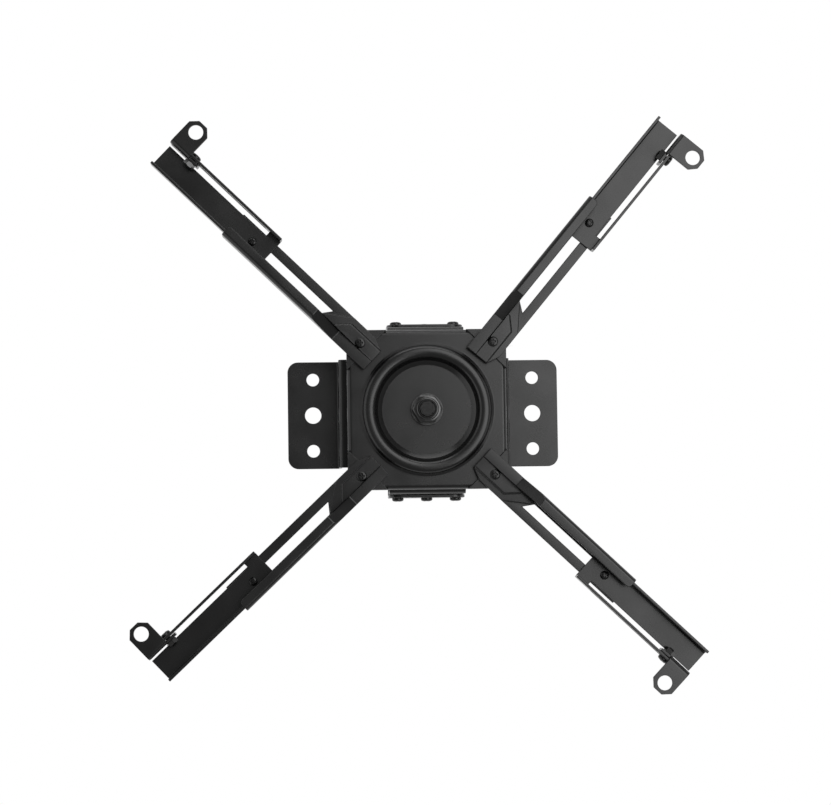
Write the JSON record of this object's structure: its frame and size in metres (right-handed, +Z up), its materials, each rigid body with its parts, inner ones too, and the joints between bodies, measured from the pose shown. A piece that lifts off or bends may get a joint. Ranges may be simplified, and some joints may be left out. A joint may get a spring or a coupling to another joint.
{
  "type": "projector ceiling mount",
  "caption": "Black steel ceiling mount for a projector: tilting folded bracket, swivelling pressed plate and telescopic arms that end in small feet.",
  "frame": {"origin": "centre of the four outer ceiling holes, on the face of the ears that meets the ceiling", "axes": "+Z up into the ceiling, +X along the row from one ceiling ear to the other, +Y along the tilt axis towards the tab with the pivot screw"},
  "size_m": [0.3743, 0.3749, 0.0787],
  "materials": {
    "powder_coat": "satin black powder coat on folded steel",
    "screw_steel": "black oxide steel, slightly glossy",
    "nut_steel": "black zinc steel",
    "lock_nut": "black zinc steel",
    "nylon": "dark moulded nylon"
  },
  "bodies": {
    "ceiling": {"ceiling_bracket": "powder_coat"},
    "tilt": {"tilt_frame": "powder_coat", "tilt_pivot_screw": "screw_steel", "tilt_pivot_rivet": "screw_steel", "tilt_lock_screws": "screw_steel", "tilt_lock_nuts": "nut_steel", "swivel_bolt": "screw_steel", "friction_disc": "nylon", "swivel_washer": "nut_steel", "swivel_nut": "lock_nut"},
    "plate": {"arm_plate": "powder_coat", "arm_pivot_screws": "screw_steel", "arm_pivot_nuts": "nut_steel"},
    "arm_1": {"inner_arm_1": "powder_coat"},
    "extension_1": {"outer_arm_1": "powder_coat", "extension_screw_1": "screw_steel", "extension_nut_1": "nut_steel"},
    "foot_1": {"foot_bracket_1": "powder_coat", "foot_screw_1": "screw_steel", "foot_nut_1": "nut_steel"},
    "arm_2": {"inner_arm_2": "powder_coat"},
    "extension_2": {"outer_arm_2": "powder_coat", "extension_screw_2": "screw_steel", "extension_nut_2": "nut_steel"},
    "foot_2": {"foot_bracket_2": "powder_coat", "foot_screw_2": "screw_steel", "foot_nut_2": "nut_steel"},
    "arm_3": {"inner_arm_3": "powder_coat"},
    "extension_3": {"outer_arm_3": "powder_coat", "extension_screw_3": "screw_steel", "extension_nut_3": "nut_steel"},
    "foot_3": {"foot_bracket_3": "powder_coat", "foot_screw_3": "screw_steel", "foot_nut_3": "nut_steel"},
    "arm_4": {"inner_arm_4": "powder_coat"},
    "extension_4": {"outer_arm_4": "powder_coat", "extension_screw_4": "screw_steel", "extension_nut_4": "nut_steel"},
    "foot_4": {"foot_bracket_4": "powder_coat", "foot_screw_4": "screw_steel", "foot_nut_4": "nut_steel"}
  },
  "joints": [
    {"name": "tilt", "type": "hinge", "parent": "ceiling", "child": "tilt", "pos_m": [0, 0, -0.036], "axis": [0, 1, 0], "range_deg": [-15, 15]},
    {"name": "swivel", "type": "hinge", "parent": "tilt", "child": "plate", "pos_m": [0, 0, -0.055], "axis": [0, 0, 1], "continuous": true},
    {"name": "arm_1_turn", "type": "hinge", "parent": "plate", "child": "arm_1", "pos_m": [0.0432, -0.0432, -0.062], "axis": [0, 0, 1], "range_deg": [-30, 30]},
    {"name": "arm_1_extend", "type": "slide", "parent": "arm_1", "child": "extension_1", "axis": [0.6401, -0.7683, 0], "range_m": [-0.0467, 0.0033]},
    {"name": "foot_1_slide", "type": "slide", "parent": "extension_1", "child": "foot_1", "axis": [0.6401, -0.7683, 0], "range_m": [-0.06, 0.008]},
    {"name": "arm_2_turn", "type": "hinge", "parent": "plate", "child": "arm_2", "pos_m": [0.0432, 0.0432, -0.062], "axis": [0, 0, 1], "range_deg": [-30, 30]},
    {"name": "arm_2_extend", "type": "slide", "parent": "arm_2", "child": "extension_2", "axis": [0.7266, 0.6871, 0], "range_m": [-0.0425, 0.0075]},
    {"name": "foot_2_slide", "type": "slide", "parent": "extension_2", "child": "foot_2", "axis": [0.7266, 0.6871, 0], "range_m": [-0.06, 0.008]},
    {"name": "arm_3_turn", "type": "hinge", "parent": "plate", "child": "arm_3", "pos_m": [-0.0432, 0.0432, -0.062], "axis": [0, 0, 1], "range_deg": [-30, 30]},
    {"name": "arm_3_extend", "type": "slide", "parent": "arm_3", "child": "extension_3", "axis": [-0.7266, 0.6871, 0], "range_m": [-0.0435, 0.0065]},
    {"name": "foot_3_slide", "type": "slide", "parent": "extension_3", "child": "foot_3", "axis": [-0.7266, 0.6871, 0], "range_m": [-0.06, 0.008]},
    {"name": "arm_4_turn", "type": "hinge", "parent": "plate", "child": "arm_4", "pos_m": [-0.0432, -0.0432, -0.062], "axis": [0, 0, 1], "range_deg": [-30, 30]},
    {"name": "arm_4_extend", "type": "slide", "parent": "arm_4", "child": "extension_4", "axis": [-0.7193, -0.6947, 0], "range_m": [-0.0423, 0.0077]},
    {"name": "foot_4_slide", "type": "slide", "parent": "extension_4", "child": "foot_4", "axis": [-0.7193, -0.6947, 0], "range_m": [-0.06, 0.008]}
  ]
}
